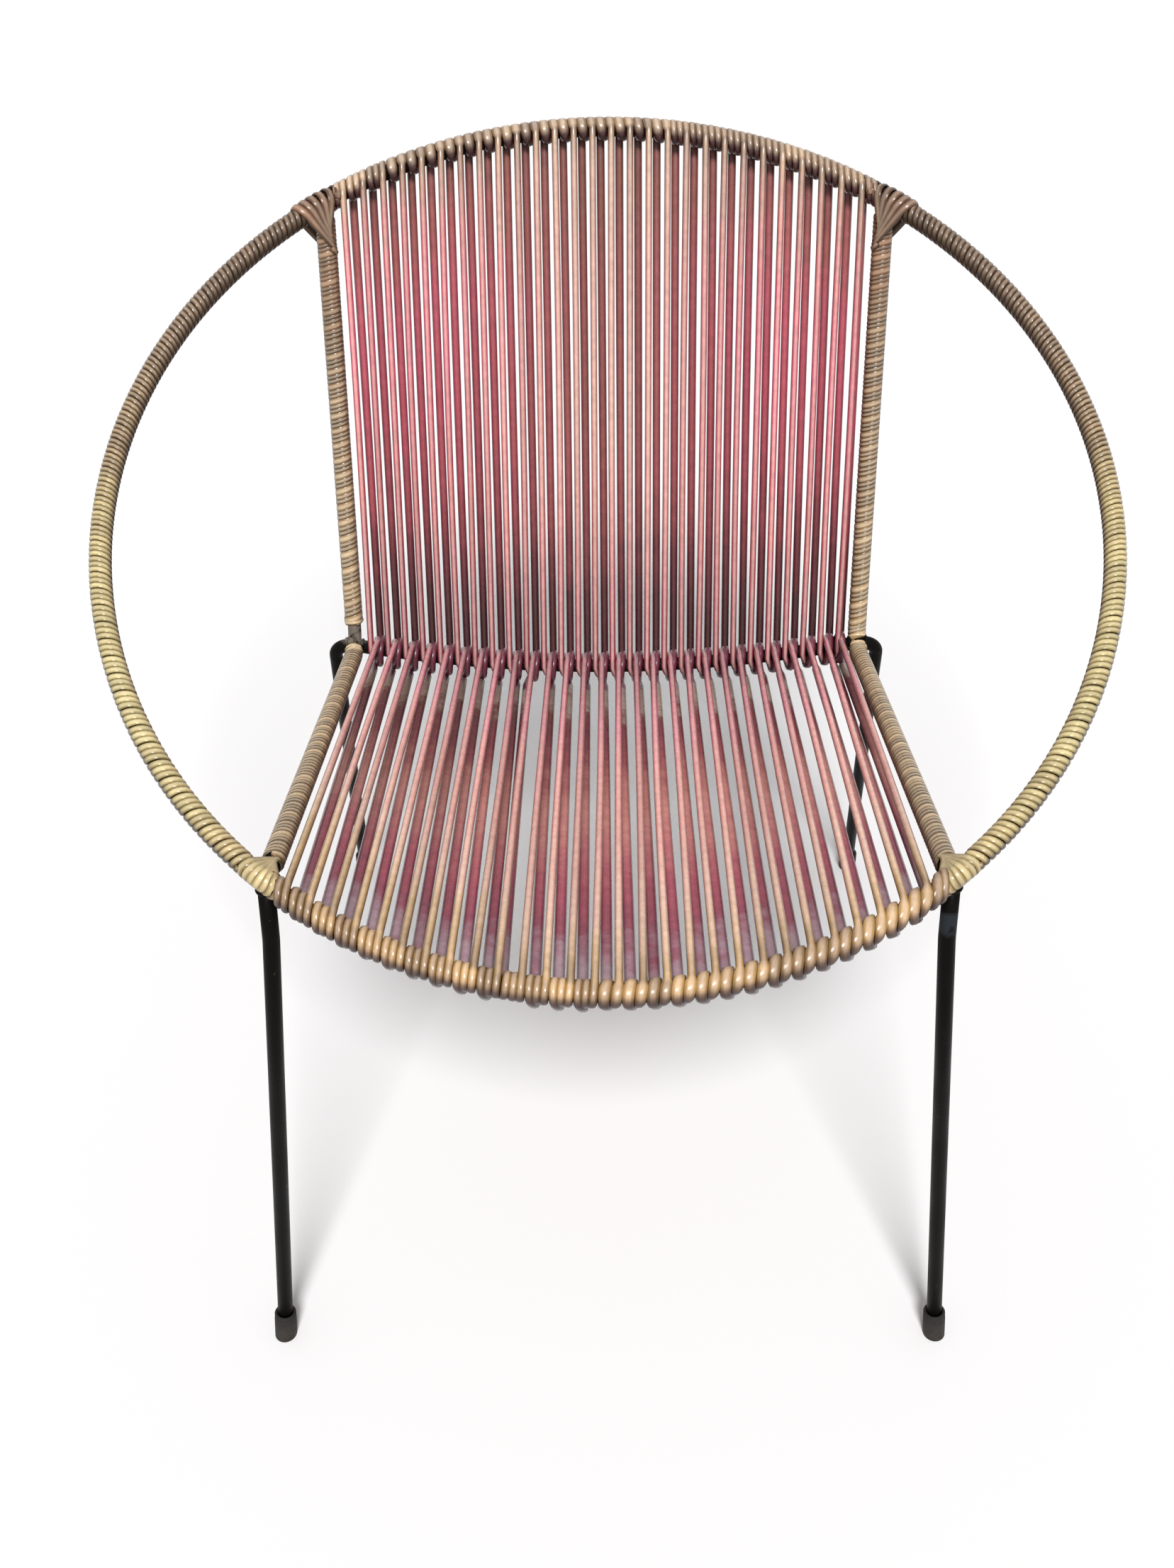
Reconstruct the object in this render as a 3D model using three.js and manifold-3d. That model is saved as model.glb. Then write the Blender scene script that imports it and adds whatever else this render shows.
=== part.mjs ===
// Round hoop chair for a patio. A tilted steel hoop carries two bent side rails,
// a bowed crossbar joins the rails at the knee, four rod legs stand in rubber caps,
// and vinyl cord is laced from the hoop to the crossbar as a back and as a seat.
// Millimetres, +Z up. The sitter faces -Y. Left is -X, as seen from the front.

import * as THREE from 'three';
import { ConvexGeometry } from 'three/addons/geometries/ConvexGeometry.js';
import { mergeVertices } from 'three/addons/utils/BufferGeometryUtils.js';
import Module from 'manifold-3d';

const wasm = await Module();
wasm.setup();

const degree = Math.PI / 180;
const fullTurn = 360 * degree;
const halfTurn = fullTurn / 2;

// Driving dimensions: stock
const rodDiameter = 12;
const cordDiameter = 4.6;
const flatCordThickness = 2.3;
const fitGap = 0.3;

// Driving dimensions: hoop and rails
const hoopWidth = 760;
const hoopTilt = 27.5 * degree;
const hoopCentreHeight = 593;
const railSpacing = 456;
const kneeHeight = 358;
const kneeSetback = 162;
const kneeBendRadius = 22;
const crossbarSag = 24;

// Driving dimensions: legs and feet
const footSpacing = 532;
const frontFootReach = 310;
const rearFootReach = 262;
const frontLegNeck = 50;
const frontNeckSplay = 2;
const frontLegBendRadius = 120;
const rearLegStandOff = 18;
const rearLegBendRadius = 14;
const capWall = 2.6;
const capMouthWall = 1.8;
const capHeight = 27;
const capSole = 6;
const capRim = 5;

// Driving dimensions: wound joints and rails
const upperBindingReach = 34;
const lowerBindingReach = 18;
const bindingSwell = 0.3;
const bareAboveKnee = 5;

// Driving dimensions: lacing
const strandPitch = 15.6;
const firstStrandClearance = 5.4;
const lastStrandClearance = 8.2;
const lengthsPerPanel = 4;
const sampleSpacing = 2;

// Where each cord lies within one strand pitch, as shares of the pitch. Behind the crossbar the
// seat cord crosses outside the back cord, and its lift is a share of the cord's thickness.
const behindAtHoopShare = 0.35;
const beadShare = 0.5;
const backBarShares = [0, 0.14, 0.28, 0.42, 0.55];
const backLiftShares = [0, 0, 0, 0, 0];
const seatBarShares = [0.4, 0.3, 0.22, 0.3, 0.5];
const seatLiftShares = [0, 0, 0.5, 1, 1];
const panels = {
  back: { side: 1, barShares: backBarShares, liftShares: backLiftShares },
  seat: { side: -1, barShares: seatBarShares, liftShares: seatLiftShares },
};

// Facet counts
const rodSides = 10;
const cordSides = 5;
const sleeveSides = 12;
const capSides = 20;
const hoopSteps = 100;
const crossbarSteps = 12;
const bendSteps = 6;
const hoopTurnSteps = 6;
const barTurnSteps = 8;
const tuckSteps = 1;

// Sizes that follow
const rodRadius = rodDiameter / 2;
const cordRadius = cordDiameter / 2;
const sleeveRadius = rodRadius + flatCordThickness;
const hoopRadius = hoopWidth / 2 - sleeveRadius;
const railOffset = railSpacing / 2;
const footOffset = footSpacing / 2;
const boreRadius = (rodRadius + fitGap) / Math.cos(halfTurn / sleeveSides);
const cutterRadius = (rodRadius + fitGap) / Math.cos(halfTurn / rodSides);
const cordClearance = rodRadius + fitGap + cordRadius;
const hoopTurnRadius = cordClearance / Math.cos(halfTurn / hoopTurnSteps);
const barTurnRadius = cordClearance / Math.cos(halfTurn / barTurnSteps);
const cordLift = cordDiameter + 2 * fitGap;
const firstStrandPlace = sleeveRadius + firstStrandClearance + cordRadius - railOffset;
const lastStrandPlace = railOffset - sleeveRadius - lastStrandClearance - cordRadius;
const strandSpan = lastStrandPlace - firstStrandPlace;
const strandCount = Math.round(strandSpan / strandPitch) + 1;
const fittedPitch = strandSpan / (strandCount - 1);

const paint = { color: 0x24211f, roughness: 0.45, metalness: 0.6 };
const rubber = { color: 0x34312f, roughness: 0.85, metalness: 0 };
const armCord = { color: 0x9c8452, roughness: 0.4, metalness: 0 };
const railCord = { color: 0xa08a68, roughness: 0.45, metalness: 0 };
const backCord = { color: 0xc8707f, roughness: 0.35, metalness: 0 };
const seatCord = { color: 0xd8997a, roughness: 0.35, metalness: 0 };

function piece(name, geometry, look) {
  const mesh = new THREE.Mesh(geometry, new THREE.MeshStandardMaterial(look));
  mesh.name = name;
  return mesh;
}

// Booleans

function toSolid(geometry) {
  const bare = geometry.clone();
  bare.deleteAttribute('normal');
  bare.deleteAttribute('uv');
  const merged = mergeVertices(bare);
  return new wasm.Manifold(new wasm.Mesh({
    numProp: 3,
    vertProperties: merged.attributes.position.array,
    triVerts: Uint32Array.from(merged.index.array),
  }));
}

function cut(geometry, cutters) {
  const cutSolid = cutters.reduce(
    (solid, cutter) => solid.subtract(toSolid(cutter)),
    toSolid(geometry),
  );
  const mesh = cutSolid.getMesh();
  const result = new THREE.BufferGeometry();
  result.setAttribute('position', new THREE.BufferAttribute(mesh.vertProperties, 3));
  result.setIndex(new THREE.BufferAttribute(mesh.triVerts, 1));
  result.computeVertexNormals();
  return result;
}

// Rods and sleeves

// A route through chosen points. The tangent at a point halves the angle of its two runs.
class Route extends THREE.Curve {
  constructor(points) {
    super();
    this.points = points;
  }

  getPoint(share, target = new THREE.Vector3()) {
    const place = share * (this.points.length - 1);
    const index = Math.min(Math.floor(place), this.points.length - 2);
    return target.lerpVectors(this.points[index], this.points[index + 1], place - index);
  }

  getPointAt(share, target) {
    return this.getPoint(share, target);
  }

  getTangentAt(share, target = new THREE.Vector3()) {
    const index = Math.round(share * (this.points.length - 1));
    const here = this.points[index];
    target.set(0, 0, 0);
    if (index > 0) {
      target.add(here.clone().sub(this.points[index - 1]).normalize());
    }
    if (index < this.points.length - 1) {
      target.add(this.points[index + 1].clone().sub(here).normalize());
    }
    return target.normalize();
  }
}

function sweep(section, points) {
  return new THREE.ExtrudeGeometry(section, {
    steps: points.length - 1,
    bevelEnabled: false,
    extrudePath: new Route(points),
  });
}

function circlePoints(radius, sides) {
  const turns = Array.from({ length: sides }, (_, k) => k * fullTurn / sides);
  return turns.map((turn) => new THREE.Vector2(radius * Math.cos(turn), radius * Math.sin(turn)));
}

function rod(points, radius = rodRadius) {
  return sweep(new THREE.Shape(circlePoints(radius, rodSides)), points);
}

function sleeve(points) {
  const section = new THREE.Shape(circlePoints(sleeveRadius, sleeveSides));
  section.holes.push(new THREE.Path(circlePoints(boreRadius, sleeveSides)));
  return sweep(section, points);
}

// The points of a bend of the given radius that rounds the corner between two straight runs.
function bend(before, corner, after, radius) {
  const toBefore = before.clone().sub(corner).normalize();
  const toAfter = after.clone().sub(corner).normalize();
  const halfAngle = toBefore.angleTo(toAfter) / 2;
  const inward = toBefore.clone().add(toAfter).normalize();
  const centre = corner.clone().addScaledVector(inward, radius / Math.sin(halfAngle));
  const runIn = radius / Math.tan(halfAngle);
  const start = corner.clone().addScaledVector(toBefore, runIn).sub(centre);
  const end = corner.clone().addScaledVector(toAfter, runIn).sub(centre);
  const axis = new THREE.Vector3().crossVectors(start, end).normalize();
  return Array.from({ length: bendSteps + 1 }, (_, k) => {
    const spoke = start.clone().applyAxisAngle(axis, start.angleTo(end) * k / bendSteps);
    return spoke.add(centre);
  });
}

// Hoop: side is 1 for the half behind its centre and -1 for the half in front.

function hoopPoint(x, side) {
  const reach = side * Math.sqrt(hoopRadius ** 2 - x ** 2);
  const rise = reach * Math.sin(hoopTilt);
  return new THREE.Vector3(x, reach * Math.cos(hoopTilt), hoopCentreHeight + rise);
}

function hoopTangent(x, side) {
  const fall = -side * x / Math.sqrt(hoopRadius ** 2 - x ** 2);
  const tangent = new THREE.Vector3(1, fall * Math.cos(hoopTilt), fall * Math.sin(hoopTilt));
  return tangent.normalize();
}

// The place at an angle around the hoop, from its highest point towards +X.
function aroundHoop(angle) {
  const side = Math.sign(Math.cos(angle)) || 1;
  return hoopPoint(hoopRadius * Math.sin(angle), side);
}

function hoopBody(radius) {
  const torus = new THREE.TorusGeometry(hoopRadius, radius, rodSides, hoopSteps);
  return torus.rotateX(hoopTilt).translate(0, 0, hoopCentreHeight);
}

const hoopCutter = hoopBody(cutterRadius);
const jointAngle = Math.asin(railOffset / hoopRadius);

// Side rails: from the upper joint down the back, round the knee, along the seat to the front.

function along(from, to, distance) {
  const direction = to.clone().sub(from).normalize();
  return from.clone().addScaledVector(direction, distance);
}

function railCorners(hand) {
  return {
    upper: hoopPoint(hand * railOffset, 1),
    knee: new THREE.Vector3(hand * railOffset, kneeSetback, kneeHeight),
    lower: hoopPoint(hand * railOffset, -1),
  };
}

function railPoints(hand) {
  const { upper, knee, lower } = railCorners(hand);
  return [upper, ...bend(upper, knee, lower, kneeBendRadius), lower];
}

function kneeApex(hand) {
  const { upper, knee, lower } = railCorners(hand);
  return bend(upper, knee, lower, kneeBendRadius)[bendSteps / 2];
}

// Crossbar: a rod from knee to knee that bows down in the middle.

function barPoint(x) {
  const end = kneeApex(1);
  const drop = crossbarSag * (1 - (x / railOffset) ** 2);
  return new THREE.Vector3(x, end.y, end.z - drop);
}

function crossbarPoints() {
  const places = Array.from({ length: crossbarSteps + 1 }, (_, k) => 2 * k / crossbarSteps - 1);
  return places.map((place) => barPoint(place * railOffset));
}

// Legs

function frontLegPoints(hand) {
  const top = railCorners(hand).lower;
  const foot = new THREE.Vector3(hand * footOffset, -frontFootReach, 0);
  const neck = along(top, foot, frontLegNeck);
  neck.x = hand * (railOffset + frontNeckSplay);
  return [top, ...bend(top, neck, foot, frontLegBendRadius), foot];
}

function rearLegPoints(hand) {
  const root = kneeApex(hand);
  const shoulder = root.clone();
  shoulder.x = hand * (railOffset + rearLegStandOff);
  const foot = new THREE.Vector3(hand * footOffset, rearFootReach, 0);
  return [root, ...bend(root, shoulder, foot, rearLegBendRadius), foot];
}

// A leg stops short of the floor by the thickness of its rubber cap's sole.
function legRod(points, cutters) {
  const lastRun = points.slice(-2);
  const heel = along(lastRun[1], lastRun[0], capSole + fitGap);
  return cut(rod([...points.slice(0, -1), heel]), cutters);
}

// Rubber cap: a cup pushed on the leg, leaning with it, worn flat on the floor.
function footCap(points) {
  const lastRun = points.slice(-2);
  const lean = lastRun[0].clone().sub(lastRun[1]).normalize();
  const bore = (rodRadius + fitGap) / Math.cos(halfTurn / capSides);
  const radius = bore + capWall;
  const mouthRadius = bore + capMouthWall;
  const profile = [
    new THREE.Vector2(0, -radius),
    new THREE.Vector2(radius, -radius),
    new THREE.Vector2(radius, capHeight - capRim),
    new THREE.Vector2(mouthRadius, capHeight),
    new THREE.Vector2(bore, capHeight),
    new THREE.Vector2(bore, capSole),
    new THREE.Vector2(0, capSole),
  ];
  const cup = new THREE.LatheGeometry(profile, capSides);
  const turn = new THREE.Quaternion().setFromUnitVectors(new THREE.Vector3(0, 1, 0), lean);
  cup.applyQuaternion(turn);
  const ground = new THREE.BoxGeometry(2 * capHeight, 2 * capHeight, capHeight);
  return cut(cup, [ground.translate(0, 0, -capHeight / 2)]);
}

// Wound sleeves of cord on the arms of the hoop and on the rails

function armWrapPoints(hand) {
  const start = jointAngle + (upperBindingReach + fitGap) / hoopRadius;
  const end = halfTurn - jointAngle - (lowerBindingReach + fitGap) / hoopRadius;
  const count = Math.ceil((end - start) * hoopSteps / fullTurn);
  return Array.from({ length: count + 1 }, (_, k) => {
    const angle = start + k * (end - start) / count;
    return aroundHoop(hand * angle);
  });
}

function bendReach(hand) {
  const { upper, knee, lower } = railCorners(hand);
  return bend(upper, knee, lower, kneeBendRadius)[0].distanceTo(knee);
}

function backRailWrapPoints(hand) {
  const { upper, knee } = railCorners(hand);
  const start = along(upper, knee, upperBindingReach + fitGap);
  return [start, along(knee, upper, bendReach(hand) + bareAboveKnee)];
}

function seatRailWrapPoints(hand) {
  const { knee, lower } = railCorners(hand);
  const start = along(knee, lower, bendReach(hand));
  return [start, along(lower, knee, lowerBindingReach + fitGap)];
}

// Joint bindings: cord wound over each joint fills the corner between the arm and the rail.

function ringAt(centre, direction, radius) {
  const turn = new THREE.Quaternion().setFromUnitVectors(new THREE.Vector3(0, 0, 1), direction);
  return circlePoints(radius, sleeveSides).map((corner) => {
    const spoke = new THREE.Vector3(corner.x, corner.y, 0);
    return spoke.applyQuaternion(turn).add(centre);
  });
}

function jointBinding(hand, side, reach, cutters) {
  const { upper, knee, lower } = railCorners(hand);
  const joint = side > 0 ? upper : lower;
  const jointTurn = side > 0 ? jointAngle : halfTurn - jointAngle;
  const armTurn = jointTurn + side * reach / hoopRadius;
  const arm = aroundHoop(hand * armTurn);
  const step = reach / hoopRadius / bendSteps;
  const armAhead = aroundHoop(hand * (armTurn + side * step)).sub(arm).normalize();
  const jointAhead = aroundHoop(hand * (jointTurn + side * step)).sub(joint).normalize();
  const down = knee.clone().sub(joint).normalize();
  const radius = sleeveRadius + bindingSwell;
  const corners = [
    ...ringAt(arm, armAhead, radius),
    ...ringAt(joint, jointAhead, radius),
    ...ringAt(along(joint, knee, reach), down, radius),
  ];
  return cut(new ConvexGeometry(corners), cutters);
}

// Lacing: one cord goes down a panel on the sitter's side, round the crossbar, back up behind
// it, and one and a half turns round the hoop to the next strand.

function panelFrame(panel, x) {
  const hoop = hoopPoint(x, panel.side);
  const bar = barPoint(x);
  const up = hoop.clone().sub(bar).normalize();
  const face = new THREE.Vector3(0, -up.z, up.y).multiplyScalar(panel.side);
  return { hoop, bar, up, face };
}

function spokeAt(centre, face, up, turn, radius) {
  const across = face.clone().multiplyScalar(radius * Math.cos(turn));
  return centre.clone().add(across).addScaledVector(up, radius * Math.sin(turn));
}

// On the hoop a turn of 0 faces the sitter and a quarter turn faces away from the panel.
// Each turn keeps the slant of the strands, so its points slide along the hoop to their x.
function onHoop(panel, x, turn) {
  const { hoop, up, face } = panelFrame(panel, x);
  const tangent = hoopTangent(x, panel.side);
  const squareFace = face.clone().addScaledVector(tangent, -face.dot(tangent)).normalize();
  const squareUp = new THREE.Vector3().crossVectors(squareFace, tangent);
  squareUp.multiplyScalar(Math.sign(squareUp.dot(up)));
  const point = spokeAt(hoop, squareFace, squareUp, turn, hoopTurnRadius);
  return point.addScaledVector(tangent, (x - point.x) / tangent.x);
}

function onBar(panel, x, turn, liftShare) {
  const { bar, up, face } = panelFrame(panel, x);
  return spokeAt(bar, face, up, turn, barTurnRadius + liftShare * cordLift);
}

function mix(from, to, share) {
  return from + (to - from) * share;
}

const halfHoopSteps = hoopTurnSteps / 2;
const hoopStepTurn = fullTurn / hoopTurnSteps;
const barStepTurn = fullTurn / barTurnSteps;

// The half turn that brings a cord from behind the hoop over to the sitter's side.
function overHoop(panel, x, k) {
  const share = mix(behindAtHoopShare, beadShare, k / halfHoopSteps);
  return onHoop(panel, x + share * fittedPitch, halfTurn - k * hoopStepTurn);
}

// The whole turn from there to the next strand, which shows as a bead between the two.
function beadTurn(panel, x, k) {
  const share = mix(beadShare, 1, k / hoopTurnSteps);
  return onHoop(panel, x + share * fittedPitch, -k * hoopStepTurn);
}

// A length of cord ends behind the hoop, face to face with the next length.
function seam(panel, x, direction) {
  const before = beadTurn(panel, x, halfHoopSteps);
  const after = beadTurn(panel, x, halfHoopSteps + 1);
  const share = 1 / 2 + direction * fitGap / before.distanceTo(after);
  return before.lerp(after, share);
}

function placeOf(strand) {
  return firstStrandPlace + strand * fittedPitch;
}

function stepsBetween(from, to) {
  return Array.from({ length: to - from }, (_, k) => from + k);
}

// One strand: down the sitter's side, round the crossbar, up behind and on to the hoop.
function strandPoints(panel, x) {
  const roundBar = panel.barShares.map((share, k) => (
    onBar(panel, x + share * fittedPitch, -k * barStepTurn, panel.liftShares[k])
  ));
  return [onHoop(panel, x, 0), ...roundBar, overHoop(panel, x, 0), overHoop(panel, x, tuckSteps)];
}

// The turns round the hoop that carry the cord on from a strand, up to a step of the bead.
function turnsOn(panel, x, beadSteps) {
  const over = stepsBetween(tuckSteps + 1, halfHoopSteps).map((k) => overHoop(panel, x, k));
  const bead = stepsBetween(0, beadSteps).map((k) => beadTurn(panel, x, k));
  return [...over, ...bead];
}

// The panel's last strand ends tucked over the hoop, and other lengths end at a seam.
function lacingPoints(panel, first, last) {
  const before = placeOf(first - 1);
  const leadIn = stepsBetween(halfHoopSteps + 1, hoopTurnSteps);
  const points = [seam(panel, before, 1), ...leadIn.map((k) => beadTurn(panel, before, k))];
  for (let strand = first; strand <= last; strand += 1) {
    const x = placeOf(strand);
    points.push(...strandPoints(panel, x));
    if (strand < last) {
      points.push(...turnsOn(panel, x, hoopTurnSteps));
    } else if (last < strandCount - 1) {
      points.push(...turnsOn(panel, x, halfHoopSteps + 1), seam(panel, x, -1));
    }
  }
  return points;
}

// The least gap of a cord to itself, measured on points along its middle line.
function leastGap(points) {
  const samples = [];
  let run = 0;
  for (let k = 1; k < points.length; k += 1) {
    const length = points[k - 1].distanceTo(points[k]);
    const count = Math.ceil(length / sampleSpacing);
    for (let j = 0; j < count; j += 1) {
      const point = points[k - 1].clone().lerp(points[k], j / count);
      samples.push({ point, run: run + length * j / count });
    }
    run += length;
  }
  const nearRun = halfTurn * hoopTurnRadius;
  let least = Infinity;
  samples.forEach((one, index) => {
    samples.slice(index + 1).forEach((other) => {
      if (other.run - one.run > nearRun) {
        least = Math.min(least, one.point.distanceTo(other.point));
      }
    });
  });
  return least - cordDiameter;
}

function lacing(name, panel, first, last, look) {
  const points = lacingPoints(panel, first, last);
  console.log(`${name}: least gap to itself ${leastGap(points).toFixed(2)} mm`);
  return piece(name, sweep(new THREE.Shape(circlePoints(cordRadius, cordSides)), points), look);
}

// Assembly

const frame = new THREE.Group();
const feet = new THREE.Group();
const wraps = new THREE.Group();
const lacings = new THREE.Group();

const ring = new THREE.TorusGeometry(hoopRadius, rodRadius, rodSides, hoopSteps);
const hoop = piece('hoop_rod', ring, paint);
hoop.rotation.x = hoopTilt;
hoop.position.z = hoopCentreHeight;
frame.add(hoop);

const sides = [['left', -1], ['right', 1]];
const railCutters = sides.map(([, hand]) => rod(railPoints(hand), cutterRadius));
frame.add(piece('crossbar', cut(rod(crossbarPoints()), railCutters), paint));

sides.forEach(([label, hand], index) => {
  const railCutter = railCutters[index];
  frame.add(piece(`${label}_side_rail`, cut(rod(railPoints(hand)), [hoopCutter]), paint));

  const legs = { front: frontLegPoints(hand), rear: rearLegPoints(hand) };
  Object.entries(legs).forEach(([end, points]) => {
    frame.add(piece(`${end}_${label}_leg`, legRod(points, [hoopCutter, railCutter]), paint));
    const cap = piece(`${end}_${label}_foot_cap`, footCap(points), rubber);
    cap.position.copy(points[points.length - 1]);
    feet.add(cap);
  });

  const jointCutters = [hoopCutter, railCutter, rod(legs.front, cutterRadius)];
  const upper = jointBinding(hand, 1, upperBindingReach, jointCutters);
  const lower = jointBinding(hand, -1, lowerBindingReach, jointCutters);
  wraps.add(piece(`upper_${label}_joint_binding`, upper, railCord));
  wraps.add(piece(`lower_${label}_joint_binding`, lower, railCord));
  wraps.add(piece(`${label}_arm_wrap`, sleeve(armWrapPoints(hand)), armCord));
  wraps.add(piece(`${label}_back_rail_wrap`, sleeve(backRailWrapPoints(hand)), railCord));
  wraps.add(piece(`${label}_seat_rail_wrap`, sleeve(seatRailWrapPoints(hand)), railCord));
});

const strandsPerLength = strandCount / lengthsPerPanel;
for (let part = 0; part < lengthsPerPanel; part += 1) {
  const first = Math.round(part * strandsPerLength);
  const last = Math.round((part + 1) * strandsPerLength) - 1;
  lacings.add(lacing(`back_lacing_${part + 1}`, panels.back, first, last, backCord));
  lacings.add(lacing(`seat_lacing_${part + 1}`, panels.seat, first, last, seatCord));
}

// The origin is on the floor under the middle of the chair's outline.
const chair = new THREE.Group();
chair.add(frame, feet, wraps, lacings);
chair.updateMatrixWorld(true);
const middle = new THREE.Box3().setFromObject(chair, true).getCenter(new THREE.Vector3());
chair.position.y = -middle.y;

export default chair;
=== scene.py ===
import math
import random
from collections import namedtuple

import bmesh
import bpy
from mathutils import Matrix, Vector


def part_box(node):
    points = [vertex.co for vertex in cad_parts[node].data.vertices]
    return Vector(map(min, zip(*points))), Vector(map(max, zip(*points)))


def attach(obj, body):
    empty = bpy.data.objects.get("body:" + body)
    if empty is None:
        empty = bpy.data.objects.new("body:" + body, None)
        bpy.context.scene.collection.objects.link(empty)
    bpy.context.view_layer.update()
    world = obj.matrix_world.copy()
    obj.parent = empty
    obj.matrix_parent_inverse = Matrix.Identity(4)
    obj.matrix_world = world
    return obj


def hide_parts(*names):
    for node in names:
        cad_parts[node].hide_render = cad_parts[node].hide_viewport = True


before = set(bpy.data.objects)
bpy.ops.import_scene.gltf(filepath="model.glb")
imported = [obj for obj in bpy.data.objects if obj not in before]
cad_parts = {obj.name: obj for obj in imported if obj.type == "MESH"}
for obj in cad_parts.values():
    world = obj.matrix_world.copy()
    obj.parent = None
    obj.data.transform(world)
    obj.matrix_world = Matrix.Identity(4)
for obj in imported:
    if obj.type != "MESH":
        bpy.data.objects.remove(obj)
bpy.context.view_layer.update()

scene = bpy.context.scene
scene.view_settings.view_transform = "Standard"


# Camera: stands a metre before the chair's middle at chest height and looks down on its seat.
# It has the photograph's own angles and field of view.
camera_place = Vector((-0.00406, -1.03148, 1.16139))
camera_yaw = math.radians(-0.69)
camera_dip = math.radians(38.897)
camera_roll = math.radians(-0.707)
film_height = 24
focal_length = 24.028
nearest_seen = 0.01

camera_data = bpy.data.cameras.new("camera")
camera_data.sensor_fit = "VERTICAL"
camera_data.sensor_height = film_height
camera_data.lens = focal_length
camera_data.clip_start = nearest_seen

ahead = Vector((
    math.sin(camera_yaw) * math.cos(camera_dip),
    math.cos(camera_yaw) * math.cos(camera_dip),
    -math.sin(camera_dip),
))
level = Vector((math.cos(camera_yaw), -math.sin(camera_yaw), 0))
above = level.cross(ahead)
across = math.cos(camera_roll) * level + math.sin(camera_roll) * above
upright = math.cos(camera_roll) * above - math.sin(camera_roll) * level
camera = bpy.data.objects.new("camera", camera_data)
camera.matrix_world = (
    Matrix.Translation(camera_place)
    @ Matrix((across, upright, -ahead)).transposed().to_4x4()
)
scene.collection.objects.link(camera)
scene.camera = camera


# Light: a broad overhead lamp far off, so that the floor is lit evenly. It stands straight before
# the chair, so that it reaches the rear strands between the front ones. With the sky it renders
# a colour as written.
lamp_power = 2.9
lamp_spread = math.radians(16)
lamp_height = math.radians(50)
lamp_turn = math.radians(2)

lamp = bpy.data.lights.new("overhead_lamp", "SUN")
lamp.energy = lamp_power
lamp.angle = lamp_spread
lamp_holder = bpy.data.objects.new("overhead_lamp", lamp)
lamp_holder.rotation_euler = (math.pi / 2 - lamp_height, 0, lamp_turn)
scene.collection.objects.link(lamp_holder)


# Sky: white, as behind the photographed chair. As a light it is much dimmer than to the eye, so
# that the shadows stay on the floor.
sky_light = 0.36


def linear(code):
    """An sRGB hex colour as Blender's linear one."""
    shares = [int(code[k:k + 2], 16) / 255 for k in (1, 3, 5)]
    parts = [s / 12.92 if s <= 0.04045 else ((s + 0.055) / 1.055) ** 2.4 for s in shares]
    return (*parts, 1)


def add(tree, kind, sockets=None, stops=(), **settings):
    """A node with its settings, its sockets' values or links, and its ramp's stops.

    A Map Range has its value at 0, the range it comes from at 1 and 2, and the range it goes to
    at 3 and 4. A Mix has its share at 0, its numbers at 2 and 3, and its colours at 6 and 7.
    """
    node = tree.nodes.new(kind)
    for key, value in settings.items():
        setattr(node, key, value)
    for key, value in (sockets or {}).items():
        if isinstance(value, bpy.types.NodeSocket):
            tree.links.new(value, node.inputs[key])
        else:
            node.inputs[key].default_value = linear(value) if isinstance(value, str) else value
    for index, (place, colour) in enumerate(stops):
        elements = node.color_ramp.elements
        stop = elements[index] if index < 2 else elements.new(place)
        stop.position = place
        stop.color = linear(colour)
    return node


def new_material(name):
    material = bpy.data.materials.new(name)
    material.use_nodes = True
    material.node_tree.nodes.clear()
    return material, material.node_tree


def seen_directly(tree):
    """1 where a ray comes from the camera, a reflection or glass, and 0 for other light."""
    rays = add(tree, "ShaderNodeLightPath").outputs
    seen = add(tree, "ShaderNodeMath", {0: rays["Is Camera Ray"], 1: rays["Is Glossy Ray"]},
               operation="ADD")
    seen = add(tree, "ShaderNodeMath", {0: seen.outputs[0], 1: rays["Is Transmission Ray"]},
               operation="ADD", use_clamp=True)
    return seen.outputs[0]


sky = bpy.data.worlds.new("sky")
sky.use_nodes = True
sky.node_tree.nodes.clear()
glow = add(sky.node_tree, "ShaderNodeMix",
           {0: seen_directly(sky.node_tree), 2: sky_light, 3: 1.0})
light = add(sky.node_tree, "ShaderNodeBackground", {"Color": "#ffffff",
                                                    "Strength": glow.outputs[0]})
add(sky.node_tree, "ShaderNodeOutputWorld", {"Surface": light.outputs[0]})
scene.world = sky


# Floor: a pale studio floor that keeps the chair's shadow. To the light that it throws back
# up it is grey, as a floor without a studio's white paper would be.
floor_radius = 30
floor_sides = 64

floor_mesh = bmesh.new()
bmesh.ops.create_circle(floor_mesh, cap_ends=True, radius=floor_radius, segments=floor_sides)
floor_data = bpy.data.meshes.new("floor")
floor_mesh.to_mesh(floor_data)
floor_mesh.free()
floor = bpy.data.objects.new("floor", floor_data)
scene.collection.objects.link(floor)
pale_floor, tree = new_material("matt_white_floor")
pale = add(tree, "ShaderNodeMix", {0: seen_directly(tree), 6: "#a09c98", 7: "#fbfafa"},
           data_type="RGBA")
board = add(tree, "ShaderNodeBsdfDiffuse", {"Color": pale.outputs[2]})
add(tree, "ShaderNodeOutputMaterial", {"Surface": board.outputs[0]})
floor_data.materials.append(pale_floor)


# Hoop: a ring of round mild steel bar, rolled, butt welded and painted satin black.
# Cord covers nearly all of it, so its paint shows mostly on the legs.
rod_radius = 0.006
rod_sides = 24
hoop_radius = 0.3717
hoop_tilt = math.radians(27.5)
hoop_sections = 160
low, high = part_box("hoop_rod")
hoop_centre = (Vector(low) + Vector(high)) / 2
hoop_axis = Vector((0, -math.sin(hoop_tilt), math.cos(hoop_tilt)))
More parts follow.
